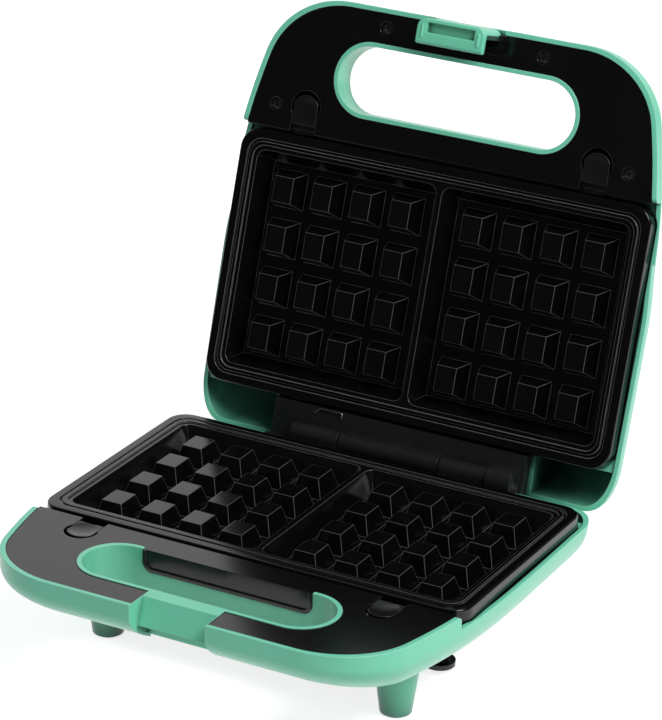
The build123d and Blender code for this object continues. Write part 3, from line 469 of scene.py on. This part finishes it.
def bayShelf(side, values):
    # a rounded bar along the rim, chamfered at its ends
    corners = [(values["front"], values["top"]), (values["rear"], values["top"]),
               (values["rear"], values["low"]), (values["front"], values["low"])]
    loop = roundedLoop([(y, z, values["edge"]) for y, z in corners], values["spacing"])
    soft = values["soft"]
    ends = [(values["inner"], soft), (values["inner"] + soft, 0.0),
            (values["outer"] - soft, 0.0), (values["outer"], soft)]
    return np.stack([np.concatenate([np.full((len(loop), 1), side * x), shrunkLoop(loop, inset)], -1)
                     for x, inset in ends])


ringMesh("latch_bay_shelf", [lidPlace(bayShelf(side, shelfValues)) for side in (-1, 1)], mintAbs, "lid")
print("latch bay finished")


# sill of the base's notch, behind the place of the closed hook; each bar is (centre, half, front, rear, top, low)
sillValues = {"bars": ((0.0, 22.4, -52.3, -50.4, 17.7, 22.0),
                       (-21.25, 1.2, -54.8, -50.4, 18.0, 20.2),
                       (21.25, 1.2, -54.8, -50.4, 18.0, 20.2)),
              "upperEdge": 0.5, "lowerEdge": 0.8, "spacing": 0.3, "soft": 0.4, "stations": 4, "ends": 4}


def notchBar(bar, values):
    # a rounded outline carried along x, smaller towards its ends
    centre, half, front, rear, top, low = bar
    upper, lower = values["upperEdge"], values["lowerEdge"]
    loop = roundedLoop([(front, top, upper), (rear, top, upper), (rear, low, lower), (front, low, lower)],
                       values["spacing"])
    place, inset = roundedEnds(half, values["soft"], values["stations"], values["ends"])
    return np.stack([np.concatenate([np.full((len(loop), 1), x + centre), shrunkLoop(loop, depth)], -1)
                     for x, depth in zip(place, inset)])


ringMesh("notch_sill", [basePlace(notchBar(bar, sillValues)) for bar in sillValues["bars"]],
         mintAbs, "base")
print("notch finished")


# lengths in metres; glow, fill and skyDark are strengths of what the camera, the diffuse light and the gloss get;
# skyBand is the cosines from skyToward, and floorBand the places in y, between which gloss sees them brighten
stageValues = {"floorHalf": 1.6, "floorColour": "#dedede", "glow": 0.80, "fill": 0.28,
               "skyDark": 0.04, "skyToward": (-0.62, 0.78, 0.0), "skyBand": (0.40, 0.80),
               "floorBand": (-0.6, 0.0), "floorDim": 0.03}


def makeStage(values):
    # flat pale floor that takes the soft shadow, in a white surround that reflections see only at the back left
    half = values["floorHalf"]
    mesh = bpy.data.meshes.new("floor")
    mesh.from_pydata([(-half, -half, 0), (half, -half, 0), (half, half, 0), (-half, half, 0)], [],
                     [(0, 1, 2, 3)])
    floor = bpy.data.objects.new("floor", mesh)
    bpy.context.scene.collection.objects.link(floor)
    material = bpy.data.materials.new("paleFloor")
    material.use_nodes = True
    tree = material.node_tree
    tree.nodes.clear()
    path = addNode(tree, "ShaderNodeLightPath").outputs
    place = addNode(tree, "ShaderNodeTexCoord").outputs["Object"]
    depth = addNode(tree, "ShaderNodeSeparateXYZ", {"Vector": place}).outputs["Y"]
    mirrored = addNode(tree, "ShaderNodeMapRange", {
        "Value": depth, "From Min": values["floorBand"][0], "From Max": values["floorBand"][1]}).outputs["Result"]
    mirrored = addNode(tree, "ShaderNodeMath", {0: path["Is Glossy Ray"], 1: mirrored},
                       operation="MULTIPLY").outputs["Value"]
    seen = addNode(tree, "ShaderNodeMath", {0: path["Is Camera Ray"], 1: path["Is Transmission Ray"]},
                   operation="MAXIMUM").outputs["Value"]
    seen = addNode(tree, "ShaderNodeMath", {0: seen, 1: mirrored}, operation="MAXIMUM").outputs["Value"]
    glow = addNode(tree, "ShaderNodeMath", {0: seen, 1: values["glow"]}, operation="MULTIPLY").outputs["Value"]
    away = addNode(tree, "ShaderNodeMath", {0: path["Is Glossy Ray"], 1: mirrored},
                   operation="SUBTRACT").outputs["Value"]
    mix, dim = surfaceValues["mixSockets"], values["floorDim"]
    colour = addNode(tree, "ShaderNodeMix", {
        mix["factor"]: away, mix["first"]: hexToLinear(values["floorColour"]), mix["second"]: (dim, dim, dim, 1)},
        data_type="RGBA").outputs[mix["result"]]
    cast = addNode(tree, "ShaderNodeBsdfDiffuse", {"Color": colour})
    lit = addNode(tree, "ShaderNodeEmission", {"Strength": glow})
    both = addNode(tree, "ShaderNodeAddShader", {0: cast.outputs["BSDF"], 1: lit.outputs["Emission"]})
    addNode(tree, "ShaderNodeOutputMaterial", {"Surface": both.outputs["Shader"]})
    mesh.materials.append(material)
    world = bpy.data.worlds.new("studio")
    bpy.context.scene.world = world
    world.use_nodes = True
    tree = world.node_tree
    tree.nodes.clear()
    path = addNode(tree, "ShaderNodeLightPath").outputs
    toward = addNode(tree, "ShaderNodeTexCoord").outputs["Generated"]
    facing = addNode(tree, "ShaderNodeVectorMath", {0: toward, 1: values["skyToward"]},
                     operation="DOT_PRODUCT").outputs["Value"]
    mirrored = addNode(tree, "ShaderNodeMapRange", {
        "Value": facing, "From Min": values["skyBand"][0], "From Max": values["skyBand"][1],
        "To Min": values["skyDark"], "To Max": 1.0}, interpolation_type="SMOOTHSTEP").outputs["Result"]
    mirrored = addNode(tree, "ShaderNodeMix", {
        "Factor": path["Is Glossy Ray"], "A": values["fill"], "B": mirrored}, data_type="FLOAT").outputs["Result"]
    seen = addNode(tree, "ShaderNodeMath", {0: path["Is Camera Ray"], 1: path["Is Transmission Ray"]},
                   operation="MAXIMUM").outputs["Value"]
    strength = addNode(tree, "ShaderNodeMath", {0: seen, 1: mirrored}, operation="MAXIMUM").outputs["Value"]
    sky = addNode(tree, "ShaderNodeBackground", {"Color": (1, 1, 1, 1), "Strength": strength})
    addNode(tree, "ShaderNodeOutputWorld", {"Surface": sky.outputs["Background"]})


lampValues = {"place": (1.08, -0.26, 1.45), "target": (0.0, 0.02, 0.1), "size": (0.8, 0.8), "watts": 25}


def addSoftbox(name, values):
    # a rectangle of light that faces its target
    lamp = bpy.data.lights.new(name, "AREA")
    lamp.shape = "RECTANGLE"
    lamp.size, lamp.size_y = values["size"]
    lamp.energy = values["watts"]
    thing = bpy.data.objects.new(name, lamp)
    bpy.context.scene.collection.objects.link(thing)
    direction = Vector(values["target"]) - Vector(values["place"])
    turn = direction.to_track_quat("-Z", "Y").to_matrix().to_4x4()
    thing.matrix_world = Matrix.Translation(values["place"]) @ turn


cameraValues = {"place": (0.7673, -1.3971, 0.8178), "forward": (-0.43367, 0.81411, -0.38621),
                "up": (-0.20449, 0.32851, 0.92210), "lensMm": 184.31, "sensorMm": 36.0,
                "clipEnd": 30.0}


def makeCamera(values):
    # right, up and back are the camera's own axes
    data = bpy.data.cameras.new("camera")
    data.lens = values["lensMm"]
    data.sensor_width = values["sensorMm"]
    data.clip_end = values["clipEnd"]
    thing = bpy.data.objects.new("camera", data)
    bpy.context.scene.collection.objects.link(thing)
    back = -Vector(values["forward"]).normalized()
    up = Vector(values["up"])
    up = (up - back * up.dot(back)).normalized()
    right = up.cross(back)
    turn = Matrix((right, up, back)).transposed().to_4x4()
    thing.matrix_world = Matrix.Translation(values["place"]) @ turn
    bpy.context.scene.camera = thing


makeStage(stageValues)
addSoftbox("keyRight", lampValues)
makeCamera(cameraValues)
bpy.context.scene.view_settings.view_transform = "Standard"
print("stage set")
